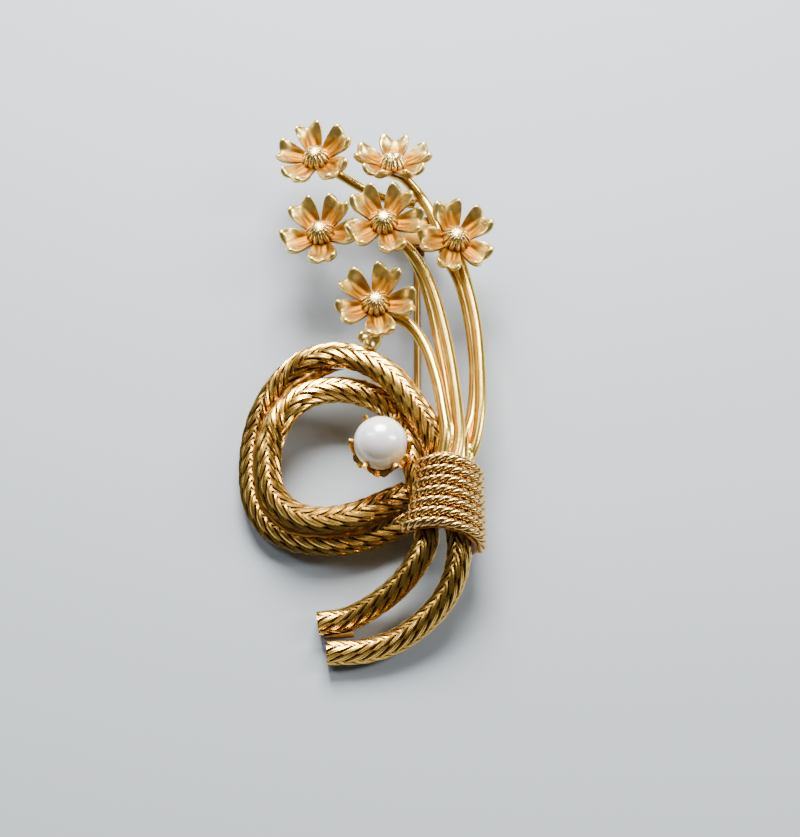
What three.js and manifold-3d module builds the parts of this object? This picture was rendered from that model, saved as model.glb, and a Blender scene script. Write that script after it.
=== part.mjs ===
// Flower-spray brooch lying on its back. Millimetres.
// +Z is the front of the brooch, +Y runs from the tails towards the flowers, +X is the collar side.
import * as THREE from "three";
import Module from "manifold-3d";

const wasm = await Module();
wasm.setup();

// Rope strands
const TAIL_RADIUS = 1.4;
const LOOP_RADIUS = 1.55;
const TAIL_WEB_THICKNESS = 0.9;

// Collar
const COLLAR_TOP_Y = -11.15;
const COLLAR_LENGTH = 7.1;
const COLLAR_FAN = 0.3;
const COLLAR_DROOP = 0.8;
const COLLAR_CENTRE_Z = 5.2;
const COLLAR_RISE = 3.75;
const COLLAR_THICKNESS = 0.3;
const COLLAR_ROWS = 7;
const ROW_GAP = 0.0633;
const COLLAR_ROPE_RADIUS = (COLLAR_LENGTH / (COLLAR_ROWS - 1) - ROW_GAP) / 2;
const ROW_START_ANGLE = 31;
const ROW_END_ANGLE = 200;

// Stems
const STEM_RADIUS = 0.6;
const BRANCH_RADIUS = 0.55;
const BEAD_RADIUS = 0.6;

// Flowers
const PETAL_REACH = 4.6;
const PETAL_THICKNESS = 0.42;
const PETAL_CURL = 1.05;
const PETAL_TROUGH = 0.4;
const DOME_RADIUS = 1.5;
const DOME_HEIGHT = 1.6;

// Pearl and cup
const PEARL_RADIUS = 2.9;
const PEARL_FOOT_Z = 6.2;
const PEARL_CENTRE = [1.45, -9.25, PEARL_FOOT_Z + PEARL_RADIUS];
const CUP_GAP = 0.12;
const CUP_THICKNESS = 0.34;
const CUP_PRONGS = 6;

// Pin findings
const PIN_X = 5.55;
const PIN_Z = 1.45;
const PIN_RADIUS = 0.42;
const HINGE_Y = 19.0;
const CATCH_Y = -12.1;
const CATCH_LENGTH = 3.0;
const CATCH_HALF_WIDTH = 1.45;
const BORE_RADIUS = 0.98;
const SLEEVE_RADIUS = 0.92;
const SLEEVE_BORE_RADIUS = 0.55;
const SLOT_WIDTH = 1.06;
const CHEEK_THICKNESS = 0.4;
const EYE_WIDTH = 0.9;
const EYE_RADIUS = 0.86;
const RIVET_RADIUS = 0.34;

const SEAM_GAP = 0.03;

const ropeGold = new THREE.MeshStandardMaterial({ color: 0xb98a45, roughness: 0.38, metalness: 1 });
const stemGold = new THREE.MeshStandardMaterial({ color: 0xd9b56a, roughness: 0.32, metalness: 1 });
const flowerGold = new THREE.MeshStandardMaterial({ color: 0xd69a35, roughness: 0.28, metalness: 1 });
const cupGold = new THREE.MeshStandardMaterial({ color: 0xd58b2c, roughness: 0.3, metalness: 1 });
const findingsGold = new THREE.MeshStandardMaterial({ color: 0xb08440, roughness: 0.4, metalness: 1 });
const pinGold = new THREE.MeshStandardMaterial({ color: 0xa9834a, roughness: 0.3, metalness: 1 });
const pearlWhite = new THREE.MeshStandardMaterial({ color: 0xf3ece2, roughness: 0.18, metalness: 0 });

const group = new THREE.Group();

function addPiece(name, geometry, material) {
  const mesh = new THREE.Mesh(geometry, material);
  mesh.name = name;
  group.add(mesh);
  return mesh;
}

function closedGeometry(vertices, faces) {
  const geometry = new THREE.BufferGeometry();
  const flat = vertices.flatMap((v) => [v.x, v.y, v.z]);
  geometry.setAttribute("position", new THREE.Float32BufferAttribute(flat, 3));
  geometry.setIndex(faces.flat());
  geometry.computeVertexNormals();
  return geometry;
}

const degrees = (angle) => (angle * Math.PI) / 180;

// A round rod that follows a list of points, with flat closed ends.
function roundRod(points, radius, steps, sides) {
  const curve = new THREE.CatmullRomCurve3(points.map((p) => new THREE.Vector3(...p)), false, "centripetal");
  const frames = curve.computeFrenetFrames(steps, false);
  const vertices = [];
  const faces = [];
  for (let i = 0; i <= steps; i += 1) {
    const centre = curve.getPointAt(i / steps);
    const r = typeof radius === "function" ? radius(i / steps) : radius;
    for (let j = 0; j < sides; j += 1) {
      const turn = ((j + 0.5) / sides) * 2 * Math.PI;
      const vertex = centre.clone();
      vertex.addScaledVector(frames.normals[i], r * Math.cos(turn));
      vertex.addScaledVector(frames.binormals[i], r * Math.sin(turn));
      vertices.push(vertex);
    }
  }
  for (let i = 0; i < steps; i += 1) {
    for (let j = 0; j < sides; j += 1) {
      const a = i * sides + j;
      const b = i * sides + ((j + 1) % sides);
      faces.push([a, b, b + sides], [a, b + sides, a + sides]);
    }
  }
  const first = vertices.length;
  vertices.push(curve.getPointAt(0));
  vertices.push(curve.getPointAt(1));
  for (let j = 0; j < sides; j += 1) {
    const next = (j + 1) % sides;
    faces.push([first, next, j]);
    faces.push([first + 1, steps * sides + j, steps * sides + next]);
  }
  return closedGeometry(vertices, faces);
}

// Joins or cuts solids and gives the result back as one geometry.
function toSolid(geometry) {
  const position = geometry.getAttribute("position");
  const index = geometry.getIndex();
  const mesh = new wasm.Mesh({
    numProp: 3,
    vertProperties: new Float32Array(position.array),
    triVerts: new Uint32Array(index.array),
  });
  mesh.merge();
  return new wasm.Manifold(mesh);
}

function fromSolid(solid) {
  const mesh = solid.getMesh();
  const geometry = new THREE.BufferGeometry();
  const flat = new Float32Array(mesh.vertProperties);
  geometry.setAttribute("position", new THREE.BufferAttribute(flat, 3));
  geometry.setIndex([...mesh.triVerts]);
  geometry.computeVertexNormals();
  return geometry;
}

// ---- Rope strands: each runs from its tail through the collar and round the loop ----
const outerStrandPath = [
  [-4.3, -30.4, 1.4], [-0.3, -30.2, 1.4], [3.1, -29.2, 1.8], [6.2, -27.2, 2.7], [8.5, -24.7, 3.9],
  [9.7, -21.8, 5.1], [9.9, -19.1, 5.6], [9.2, -15.3, 5.6], [8.35, -11.6, 5.6], [7.9, -9.8, 6.2],
  [6.95, -7.4, 7.0], [5.6, -4.9, 7.3], [4.15, -2.7, 7.3], [2.3, -0.45, 7.1], [-0.4, 1.5, 6.7],
  [-3.4, 2.55, 6.0], [-6.75, 2.2, 5.0], [-9.45, 0.5, 3.8], [-11.45, -2.0, 2.6], [-12.7, -5.4, 1.8],
  [-13.05, -9.6, 1.55], [-12.5, -13.4, 1.55], [-10.7, -16.3, 1.6], [-7.4, -17.85, 1.75],
  [-3.9, -18.2, 2.0], [-0.7, -17.8, 2.15], [1.8, -16.95, 2.1], [4.2, -15.9, 2.2],
];
const innerStrandPath = [
  [-5.3, -27.2, 1.4], [-2.4, -26.8, 1.5], [0.3, -25.7, 2.3], [3.1, -23.9, 3.6], [5.3, -21.5, 5.0],
  [6.4, -19.1, 5.6], [6.1, -15.5, 5.5], [5.3, -11.0, 5.1], [4.5, -7.6, 4.8], [3.45, -4.6, 4.6],
  [1.75, -2.65, 4.4], [-0.8, -1.4, 4.4], [-3.6, -1.1, 4.6], [-6.75, -1.85, 4.8], [-9.2, -3.9, 4.7],
  [-10.6, -6.8, 4.5], [-10.95, -10.2, 4.4], [-10.4, -13.3, 4.4], [-8.7, -15.4, 4.5], [-6.1, -16.5, 4.7],
  [-3.0, -16.4, 4.8], [-0.4, -15.6, 4.6], [1.7, -14.5, 4.1], [3.5, -13.4, 3.4],
];
// Thinner in the tails and where the end tucks in under the collar, fuller round the loop.
const strandRadius = (t) => {
  const grow = Math.min(1, Math.max(0, (t - 0.36) / 0.08));
  const shrink = Math.min(1, Math.max(0, (1 - t) / 0.08));
  return TAIL_RADIUS + (LOOP_RADIUS - TAIL_RADIUS) * Math.min(grow, shrink);
};
addPiece("outer_strand", roundRod(outerStrandPath, strandRadius, 66, 10), ropeGold);
addPiece("inner_strand", roundRod(innerStrandPath, strandRadius, 58, 10), ropeGold);

// Small web that ties the two cut tail ends together.
const webBottom = 0.9;
const webCorners = [
  [-4.6, -28.83], [-1.4, -28.62], [-1.4, -28.1], [-4.6, -28.72],
];
const webVertices = [];
for (const z of [webBottom, webBottom + TAIL_WEB_THICKNESS]) {
  for (const [x, y] of webCorners) {
    webVertices.push(new THREE.Vector3(x, y, z));
  }
}
const boxFaces = [
  [0, 2, 1], [0, 3, 2], [4, 5, 6], [4, 6, 7], [0, 1, 5], [0, 5, 4],
  [1, 2, 6], [1, 6, 5], [2, 3, 7], [2, 7, 6], [3, 0, 4], [3, 4, 7],
];
addPiece("tail_web", closedGeometry(webVertices, boxFaces), ropeGold);

// ---- Collar: an arched band with rows of twisted rope over it ----
function collarPoint(angle, row, offset) {
  const left = 6.2 - 1.7 * row * Math.abs(row);
  const right = 11.6 + 0.1 * row;
  const halfWidth = (right - left) / (1 + Math.cos(degrees(ROW_START_ANGLE)));
  const centreX = right - halfWidth;
  const c = Math.cos(degrees(angle));
  const s = Math.sin(degrees(angle));
  const normal = new THREE.Vector2(-c / halfWidth, s / COLLAR_RISE).normalize();
  const side = Math.max(0, (angle - 90) / 90);
  return new THREE.Vector3(
    centreX - halfWidth * c + normal.x * offset,
    COLLAR_TOP_Y - row * (COLLAR_LENGTH + COLLAR_FAN * side) - COLLAR_DROOP * side,
    COLLAR_CENTRE_Z + COLLAR_RISE * s + normal.y * offset,
  );
}

function collarBand() {
  const alongSteps = 5;
  const acrossSteps = 14;
  const vertices = [];
  const faces = [];
  const ringSize = 2 * (acrossSteps + 1);
  for (let i = 0; i <= alongSteps; i += 1) {
    const row = -0.07 + (1.14 * i) / alongSteps;
    for (let j = 0; j <= acrossSteps; j += 1) {
      const angle = ROW_START_ANGLE - 2 + ((ROW_END_ANGLE - ROW_START_ANGLE + 4) * j) / acrossSteps;
      vertices.push(collarPoint(angle, row, COLLAR_THICKNESS / 2));
    }
    for (let j = acrossSteps; j >= 0; j -= 1) {
      const angle = ROW_START_ANGLE - 2 + ((ROW_END_ANGLE - ROW_START_ANGLE + 4) * j) / acrossSteps;
      vertices.push(collarPoint(angle, row, -COLLAR_THICKNESS / 2));
    }
  }
  for (let i = 0; i < alongSteps; i += 1) {
    for (let j = 0; j < ringSize; j += 1) {
      const a = i * ringSize + j;
      const b = i * ringSize + ((j + 1) % ringSize);
      faces.push([a, b + ringSize, b], [a, a + ringSize, b + ringSize]);
    }
  }
  const last = alongSteps * ringSize;
  for (let j = 0; j < acrossSteps; j += 1) {
    const k = ringSize - 1 - j;
    faces.push([j, j + 1, k - 1], [j, k - 1, k]);
    faces.push([last + j, last + k - 1, last + j + 1], [last + j, last + k, last + k - 1]);
  }
  return closedGeometry(vertices, faces);
}
addPiece("collar_band", collarBand(), ropeGold);

for (let k = 0; k < COLLAR_ROWS; k += 1) {
  const row = k / (COLLAR_ROWS - 1);
  const lift = COLLAR_THICKNESS / 2 + SEAM_GAP + COLLAR_ROPE_RADIUS;
  const path = [];
  for (let j = 0; j <= 12; j += 1) {
    const angle = ROW_START_ANGLE + ((ROW_END_ANGLE - ROW_START_ANGLE) * j) / 12;
    path.push(collarPoint(angle, row, lift).toArray());
  }
  addPiece(`collar_rope_${k + 1}`, roundRod(path, COLLAR_ROPE_RADIUS, 14, 8), ropeGold);
}

// ---- Flowers ----
const flowers = {
  top_left: { base: [-6.2, 27.05, 6.9], tilt: [-0.16, 0.14], petals: [34, 104, 169, 227, 315] },
  top_right: { base: [2.7, 26.2, 6.7], tilt: [0.02, 0.55], petals: [16, 86, 168, 236, 308] },
  middle_left: { base: [-5.5, 17.3, 6.7], tilt: [-0.14, 0.06], petals: [-10, 58, 124, 204, 278] },
  centre: { base: [1.7, 17.5, 9.0], tilt: [0.0, 0.03], petals: [-5, 59, 127, 218, 286] },
  right: { base: [9.85, 16.4, 7.0], tilt: [0.12, 0.0], petals: [41, 103, 194, 255, 316] },
  lower: { base: [0.8, 7.9, 7.7], tilt: [0.0, 0.0], petals: [-3, 69, 142, 203, 279] },
};

const outline = [
  [-1, 1.6], [-0.86, 2.4], [-0.77, 3.7], [-0.58, 4.45], [-0.3, 4.6],
  [0, 4.3], [0.3, 4.6], [0.58, 4.45], [0.77, 3.7], [0.86, 2.4],
];

function flowerFrame(flower) {
  const normal = new THREE.Vector3(flower.tilt[0], flower.tilt[1], 1).normalize();
  const turn = new THREE.Quaternion().setFromUnitVectors(new THREE.Vector3(0, 0, 1), normal);
  return new THREE.Matrix4().compose(new THREE.Vector3(...flower.base), turn, new THREE.Vector3(1, 1, 1));
}

// Five cupped petals in one sheet: a dish whose edge reaches out along each petal.
function petalSheet(flower) {
  const count = flower.petals.length;
  const spokes = [];
  for (let k = 0; k < count; k += 1) {
    const centre = flower.petals[k];
    const before = flower.petals[(k + count - 1) % count] - (k === 0 ? 360 : 0);
    const after = flower.petals[(k + 1) % count] + (k === count - 1 ? 360 : 0);
    for (const [side, reach] of outline) {
      const half = side < 0 ? (centre - before) / 2 : (after - centre) / 2;
      spokes.push({ angle: centre + side * half, away: side * half, reach: (reach * PETAL_REACH) / 4.6 });
    }
  }
  const rings = [0.3, 0.65, 1];
  const topAt = (spoke, r) => {
    const sideways = r * Math.sin(degrees(spoke.away));
    const outward = r / PETAL_REACH;
    return PETAL_THICKNESS + PETAL_CURL * outward ** 3 + PETAL_TROUGH * (sideways / 1.4) ** 2 * outward;
  };
  const vertices = [new THREE.Vector3(0, 0, PETAL_THICKNESS), new THREE.Vector3(0, 0, 0)];
  for (const drop of [0, PETAL_THICKNESS]) {
    for (const ring of rings) {
      for (const spoke of spokes) {
        const r = ring * spoke.reach;
        const x = r * Math.cos(degrees(spoke.angle));
        const y = r * Math.sin(degrees(spoke.angle));
        vertices.push(new THREE.Vector3(x, y, topAt(spoke, r) - drop));
      }
    }
  }
  const n = spokes.length;
  const at = (side, ring, j) => 2 + side * rings.length * n + ring * n + (j % n);
  const faces = [];
  for (let j = 0; j < n; j += 1) {
    faces.push([0, at(0, 0, j), at(0, 0, j + 1)]);
    faces.push([1, at(1, 0, j + 1), at(1, 0, j)]);
    for (let i = 0; i < rings.length - 1; i += 1) {
      faces.push([at(0, i, j), at(0, i + 1, j), at(0, i + 1, j + 1)]);
      faces.push([at(0, i, j), at(0, i + 1, j + 1), at(0, i, j + 1)]);
      faces.push([at(1, i, j), at(1, i + 1, j + 1), at(1, i + 1, j)]);
      faces.push([at(1, i, j), at(1, i, j + 1), at(1, i + 1, j + 1)]);
    }
    const edge = rings.length - 1;
    faces.push([at(0, edge, j), at(1, edge, j), at(1, edge, j + 1)]);
    faces.push([at(0, edge, j), at(1, edge, j + 1), at(0, edge, j + 1)]);
  }
  return closedGeometry(vertices, faces).applyMatrix4(flowerFrame(flower));
}

function domeButton(flower) {
  const bottom = PETAL_THICKNESS + 0.08;
  const profile = [new THREE.Vector2(0, bottom), new THREE.Vector2(DOME_RADIUS * 0.9, bottom)];
  for (const rise of [10, 35, 60]) {
    const r = DOME_RADIUS * Math.cos(degrees(rise));
    profile.push(new THREE.Vector2(r, bottom + 0.1 + (DOME_HEIGHT - 0.1) * Math.sin(degrees(rise))));
  }
  profile.push(new THREE.Vector2(0, bottom + DOME_HEIGHT));
  return new THREE.LatheGeometry(profile, 12).rotateX(Math.PI / 2).applyMatrix4(flowerFrame(flower));
}

for (const [name, flower] of Object.entries(flowers)) {
  addPiece(`flower_${name}_petals`, petalSheet(flower), flowerGold);
  addPiece(`flower_${name}_centre`, domeButton(flower), flowerGold);
}

// ---- Stems: each rod ends flat under the middle of its flower ----
function stemEnd(flower, heading, radius) {
  const matrix = flowerFrame(flower);
  const turn = degrees(heading);
  const along = (d) => {
    const point = new THREE.Vector3(d * Math.cos(turn), d * Math.sin(turn), -radius - SEAM_GAP);
    return point.applyMatrix4(matrix).toArray();
  };
  return [along(-1.7), along(-0.4), along(0.7)];
}

const stems = {
  lower: {
    points: [[7.7, -12.8, 7.75], [8.15, -10.6, 8.02], [8.5, -8.0, 8.55], [8.25, -5.4, 8.2], [7.6, -1.2, 7.6],
      [6.3, 3.2, 7.1], [4.5, 5.9, 7.0]],
    heading: 150,
    radius: STEM_RADIUS,
  },
  centre: {
    points: [[8.95, -12.8, 7.85], [9.5, -10.6, 7.85], [10.0, -8.0, 7.8], [9.75, -3.7, 7.7], [8.75, 3.6, 7.5],
      [7.0, 10.5, 7.6], [4.8, 14.4, 8.1]],
    heading: 130,
    radius: STEM_RADIUS,
  },
  top_right: {
    points: [[10.0, -12.8, 7.2], [10.3, -10.6, 6.9], [10.48, -8.1, 6.35], [11.0, -6.3, 5.6], [11.5, -4.6, 5.15],
      [11.95, 0.4, 5.0], [11.55, 6.7, 4.8], [10.4, 12.2, 4.85], [8.7, 15.8, 5.4], [7.5, 20.2, 5.45],
      [5.9, 23.2, 5.4]],
    heading: 140,
    radius: STEM_RADIUS,
  },
  right: {
    points: [[10.5, -12.8, 5.9], [10.75, -10.8, 5.7], [11.75, -8.2, 6.1], [12.4, -4.6, 6.4], [12.5, 0.4, 6.3],
      [12.1, 6.7, 6.1], [11.0, 12.2, 6.1]],
    heading: 108,
    radius: STEM_RADIUS,
  },
  middle_left: {
    points: [[9.35, -7.4, 6.5], [9.2, -5.5, 6.6], [8.95, -3.7, 6.55], [8.4, 0.6, 6.3], [7.75, 4.6, 6.2],
      [6.9, 9.0, 6.1], [5.6, 13.4, 6.0], [3.4, 17.0, 5.95], [0.5, 18.2, 5.95], [-2.6, 17.8, 6.1]],
    heading: 178,
    radius: BRANCH_RADIUS,
  },
  top_left: {
    points: [[5.4, 22.1, 5.5], [2.4, 22.9, 5.0], [-0.6, 24.2, 5.2], [-3.2, 25.6, 5.8]],
    heading: 150,
    radius: BRANCH_RADIUS,
  },
};
for (const [name, stem] of Object.entries(stems)) {
  const path = [...stem.points, ...stemEnd(flowers[name], stem.heading, stem.radius)];
  const steps = 2 * path.length;
  addPiece(`stem_${name}`, roundRod(path, stem.radius, steps, 8), stemGold);
}

// Solder bead that ties the lower flower to the top of the loop.
const beadPath = [[1.0, 4.5, 7.6], [0.45, 4.1, 7.5], [-0.35, 3.85, 7.3]];
addPiece("joining_bead", roundRod(beadPath, BEAD_RADIUS, 6, 10), stemGold);

// ---- Pearl, its pronged cup and the post under the cup ----
const pearl = new THREE.SphereGeometry(PEARL_RADIUS, 24, 14).rotateX(Math.PI / 2);
addPiece("pearl", pearl.translate(...PEARL_CENTRE), pearlWhite);

function prongedCup() {
  const stepsAround = CUP_PRONGS * 8;
  const rimRises = [8, -2, -20, -34, -34, -34, -20, -2];
  const rimFlares = [0, 0.1, 0.3, 0.45, 0.45, 0.45, 0.3, 0.1];
  const levels = [0, 0.25, 0.5, 0.75, 1];
  const inner = PEARL_RADIUS + CUP_GAP;
  const outer = inner + CUP_THICKNESS;
  const vertices = [new THREE.Vector3(0, 0, -outer), new THREE.Vector3(0, 0, -inner)];
  for (const radius of [outer, inner]) {
    for (const level of levels) {
      for (let j = 0; j < stepsAround; j += 1) {
        const around = (j / stepsAround) * 2 * Math.PI;
        const rise = degrees(-78 + level * (rimRises[j % 8] + 78));
        const flared = radius + rimFlares[j % 8] * level * level;
        const flat = flared * Math.cos(rise);
        vertices.push(new THREE.Vector3(flat * Math.cos(around), flat * Math.sin(around), flared * Math.sin(rise)));
      }
    }
  }
  const at = (side, level, j) => 2 + (side * levels.length + level) * stepsAround + (j % stepsAround);
  const faces = [];
  for (let j = 0; j < stepsAround; j += 1) {
    faces.push([0, at(0, 0, j + 1), at(0, 0, j)]);
    faces.push([1, at(1, 0, j), at(1, 0, j + 1)]);
    for (let i = 0; i < levels.length - 1; i += 1) {
      faces.push([at(0, i, j), at(0, i, j + 1), at(0, i + 1, j + 1)]);
      faces.push([at(0, i, j), at(0, i + 1, j + 1), at(0, i + 1, j)]);
      faces.push([at(1, i, j), at(1, i + 1, j + 1), at(1, i, j + 1)]);
      faces.push([at(1, i, j), at(1, i + 1, j), at(1, i + 1, j + 1)]);
    }
    const rim = levels.length - 1;
    faces.push([at(0, rim, j), at(0, rim, j + 1), at(1, rim, j + 1)]);
    faces.push([at(0, rim, j), at(1, rim, j + 1), at(1, rim, j)]);
  }
  return closedGeometry(vertices, faces).translate(...PEARL_CENTRE);
}
addPiece("pearl_cup", prongedCup(), cupGold);

const postZ = PEARL_CENTRE[2] - PEARL_RADIUS - CUP_GAP - CUP_THICKNESS - SEAM_GAP - 0.45;
const postPath = [[1.1, -9.3, postZ], [2.0, -9.1, postZ], [3.2, -8.9, postZ]];
addPiece("pearl_post", roundRod(postPath, 0.45, 4, 8), cupGold);

// ---- Hinge: plate under the stems, two cheeks, a rivet ----
function boxSolid(size, centre) {
  return wasm.Manifold.cube(size, true).translate(centre);
}
function rodAlongX(radius, length, centre) {
  return wasm.Manifold.cylinder(length, radius, radius, 24, true).rotate([0, 90, 0]).translate(centre);
}
function rodAlongY(radius, length, centre) {
  return wasm.Manifold.cylinder(length, radius, radius, 28, true).rotate([90, 0, 0]).translate(centre);
}

const plateTop = 4.74;
const plateThickness = 0.5;
let hinge = boxSolid([5.0, 3.6, plateThickness], [PIN_X + 0.9, HINGE_Y, plateTop - plateThickness / 2]);
for (const side of [-1, 1]) {
  const cheekX = PIN_X + side * (EYE_WIDTH / 2 + 0.05 + CHEEK_THICKNESS / 2);
  const height = plateTop - plateThickness / 2 - PIN_Z;
  const web = boxSolid([CHEEK_THICKNESS, 2.2, height], [cheekX, HINGE_Y, PIN_Z + height / 2]);
  const round = rodAlongX(PIN_Z, CHEEK_THICKNESS, [cheekX, HINGE_Y, PIN_Z]);
  hinge = hinge.add(web).add(round);
}
hinge = hinge.subtract(rodAlongX(RIVET_RADIUS + 0.02, 6, [PIN_X, HINGE_Y, PIN_Z]));
addPiece("hinge_bracket", fromSolid(hinge), findingsGold);

const rivetSpan = EYE_WIDTH + 0.1 + 2 * CHEEK_THICKNESS + 2 * SEAM_GAP;
let rivet = rodAlongX(RIVET_RADIUS, rivetSpan + 0.4, [PIN_X, HINGE_Y, PIN_Z]);
for (const side of [-1, 1]) {
  rivet = rivet.add(rodAlongX(0.62, 0.22, [PIN_X + side * (rivetSpan / 2 + 0.11), HINGE_Y, PIN_Z]));
}
addPiece("hinge_rivet", fromSolid(rivet), findingsGold);

// Pin stem with its rolled eye and a ground point.
const pinTip = CATCH_Y - CATCH_LENGTH / 2 - 1.6;
const pinPath = [
  [PIN_X, HINGE_Y - EYE_RADIUS * 0.6, PIN_Z], [PIN_X, 10, PIN_Z], [PIN_X, 0, PIN_Z], [PIN_X, pinTip, PIN_Z],
];
const pinTaper = (t) => (t > 0.93 ? PIN_RADIUS * (1 - (t - 0.93) * 12) : PIN_RADIUS);
let pin = toSolid(roundRod(pinPath, pinTaper, 16, 10));
pin = pin.add(rodAlongX(EYE_RADIUS, EYE_WIDTH, [PIN_X, HINGE_Y, PIN_Z]));
pin = pin.subtract(rodAlongX(RIVET_RADIUS + 0.05, 6, [PIN_X, HINGE_Y, PIN_Z]));
addPiece("pin_stem", fromSolid(pin), pinGold);

// ---- Catch: housing with a mouth underneath and a turning safety sleeve ----
const housingTop = 3.6;
let housing = boxSolid(
  [2 * CATCH_HALF_WIDTH, CATCH_LENGTH, 2 * PIN_Z], [PIN_X, CATCH_Y, PIN_Z],
);
housing = housing.add(boxSolid([1.2, CATCH_LENGTH, 1.4], [PIN_X - 0.2, CATCH_Y, housingTop - 0.7]));
housing = housing.subtract(rodAlongY(BORE_RADIUS, CATCH_LENGTH + 1, [PIN_X, CATCH_Y, PIN_Z]));
housing = housing.subtract(boxSolid([SLOT_WIDTH, CATCH_LENGTH + 1, 2], [PIN_X, CATCH_Y, PIN_Z - 1]));
housing = housing.subtract(boxSolid([3.0, 1.2, 2.7], [PIN_X + 1.95, CATCH_Y, PIN_Z + 0.35]));
addPiece("catch_housing", fromSolid(housing), findingsGold);

let sleeve = rodAlongY(SLEEVE_RADIUS, CATCH_LENGTH - 0.1, [0, 0, 0]);
const tab = boxSolid([1.35, 1.0, 0.36], [1.42, 0, 0]).rotate([0, 20, 0]);
sleeve = sleeve.add(tab);
sleeve = sleeve.subtract(rodAlongY(SLEEVE_BORE_RADIUS, CATCH_LENGTH + 1, [0, 0, 0]));
sleeve = sleeve.subtract(boxSolid([SLOT_WIDTH, CATCH_LENGTH + 1, 2], [0, 0, -1]));
sleeve = sleeve.translate([PIN_X, CATCH_Y, PIN_Z]);
addPiece("catch_sleeve", fromSolid(sleeve), findingsGold);

export default group;
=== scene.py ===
import math

import bmesh
import bpy
import numpy as np
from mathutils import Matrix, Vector


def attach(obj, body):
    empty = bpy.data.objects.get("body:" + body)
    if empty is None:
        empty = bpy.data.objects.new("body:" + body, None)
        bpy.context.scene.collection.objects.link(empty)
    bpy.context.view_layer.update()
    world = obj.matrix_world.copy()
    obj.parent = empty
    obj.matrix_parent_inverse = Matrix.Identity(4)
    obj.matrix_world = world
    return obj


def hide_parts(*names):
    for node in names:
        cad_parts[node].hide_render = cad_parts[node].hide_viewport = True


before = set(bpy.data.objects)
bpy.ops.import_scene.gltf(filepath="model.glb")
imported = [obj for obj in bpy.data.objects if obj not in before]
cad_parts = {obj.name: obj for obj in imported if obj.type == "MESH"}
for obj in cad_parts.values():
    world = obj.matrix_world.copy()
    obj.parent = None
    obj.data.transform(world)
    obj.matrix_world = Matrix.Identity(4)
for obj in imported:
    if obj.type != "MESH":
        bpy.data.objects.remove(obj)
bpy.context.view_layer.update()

# ------------------------------------------------------------------------------------------------
# Rope strands. Two strands braided from pairs of fine brass wire, gold plated, with painted shade
# and some patina darkening the recesses. Each runs from its cut tail through the collar, round the
# loop and back under the collar, where it is soldered.
# ------------------------------------------------------------------------------------------------
MM = 0.001
OUTER_ROUTE = [
    (-4.3, -30.4, 1.4), (-0.3, -30.2, 1.4), (3.1, -29.2, 1.8), (6.2, -27.2, 2.7), (8.5, -24.7, 3.9),
    (9.7, -21.8, 5.1), (9.9, -19.1, 5.6), (9.2, -15.3, 5.6), (8.35, -11.6, 5.6), (7.9, -9.8, 6.2),
    (6.95, -7.4, 7.0), (5.6, -4.9, 7.3), (4.15, -2.7, 7.3), (2.3, -0.45, 7.1), (-0.4, 1.5, 6.7),
    (-3.4, 2.55, 6.0), (-6.75, 2.2, 5.0), (-9.45, 0.5, 3.8), (-11.45, -2.0, 2.6), (-12.7, -5.4, 1.8),
    (-13.05, -9.6, 1.55), (-12.5, -13.4, 1.55), (-10.7, -16.3, 1.6), (-7.4, -17.85, 1.75),
    (-3.9, -18.2, 2.0), (-0.7, -17.8, 2.15), (1.8, -16.95, 2.1), (4.6, -15.7, 2.2),
]
INNER_ROUTE = [
    (-5.3, -27.2, 1.4), (-2.4, -26.8, 1.5), (0.3, -25.7, 2.3), (3.1, -23.9, 3.6), (5.3, -21.5, 5.0),
    (6.4, -19.1, 5.6), (6.1, -15.5, 5.5), (5.3, -11.0, 5.1), (4.5, -7.6, 4.8), (3.45, -4.6, 4.6),
    (1.75, -2.65, 4.4), (-0.8, -1.4, 4.4), (-3.6, -1.1, 4.6), (-6.75, -1.85, 4.8), (-9.2, -3.9, 4.7),
    (-10.6, -6.8, 4.5), (-10.95, -10.2, 4.4), (-10.4, -13.3, 4.4), (-8.7, -15.4, 4.5),
    (-6.1, -16.5, 4.7), (-3.0, -16.4, 4.8), (-0.4, -15.6, 4.6), (1.7, -14.5, 4.1), (4.2, -13.2, 3.5),
]
TAIL_RADIUS = 1.4 * MM
LOOP_RADIUS = 1.55 * MM
FINGER_PITCH = 1.72 * MM
WIRE_RADIUS = 0.17 * MM
STRAND_PHASE = math.radians(23)
FIRST_TURN = math.radians(-33)
SECOND_TURN = math.radians(100)
CORE_SHARE = 0.88
CORE_STEPS = 300
ROUTE_STEPS = 14
SMOOTH_ANGLE = math.radians(42)


def smooth_route(points, steps=ROUTE_STEPS):
    """A centripetal Catmull-Rom curve through points in millimetres, as points in metres."""
    knots = [Vector(p) for p in points]
    knots = [2 * knots[0] - knots[1], *knots, 2 * knots[-1] - knots[-2]]
    result = []
    for before, start, end, after in zip(knots, knots[1:], knots[2:], knots[3:]):
        first = (start - before).length ** 0.5
        middle = (end - start).length ** 0.5
        last = (after - end).length ** 0.5
        leave = (start - before) / first - (end - before) / (first + middle) + (end - start) / middle
        arrive = (end - start) / middle - (after - start) / (middle + last) + (after - end) / last
        leave *= middle
        arrive *= middle
        for step in range(steps):
            t = step / steps
            bend = 3 * (end - start) - 2 * leave - arrive
            pull = leave + arrive - 2 * (end - start)
            result.append((start + t * leave + t * t * bend + t ** 3 * pull) * MM)
    result.append(knots[-2] * MM)
    return result


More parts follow.
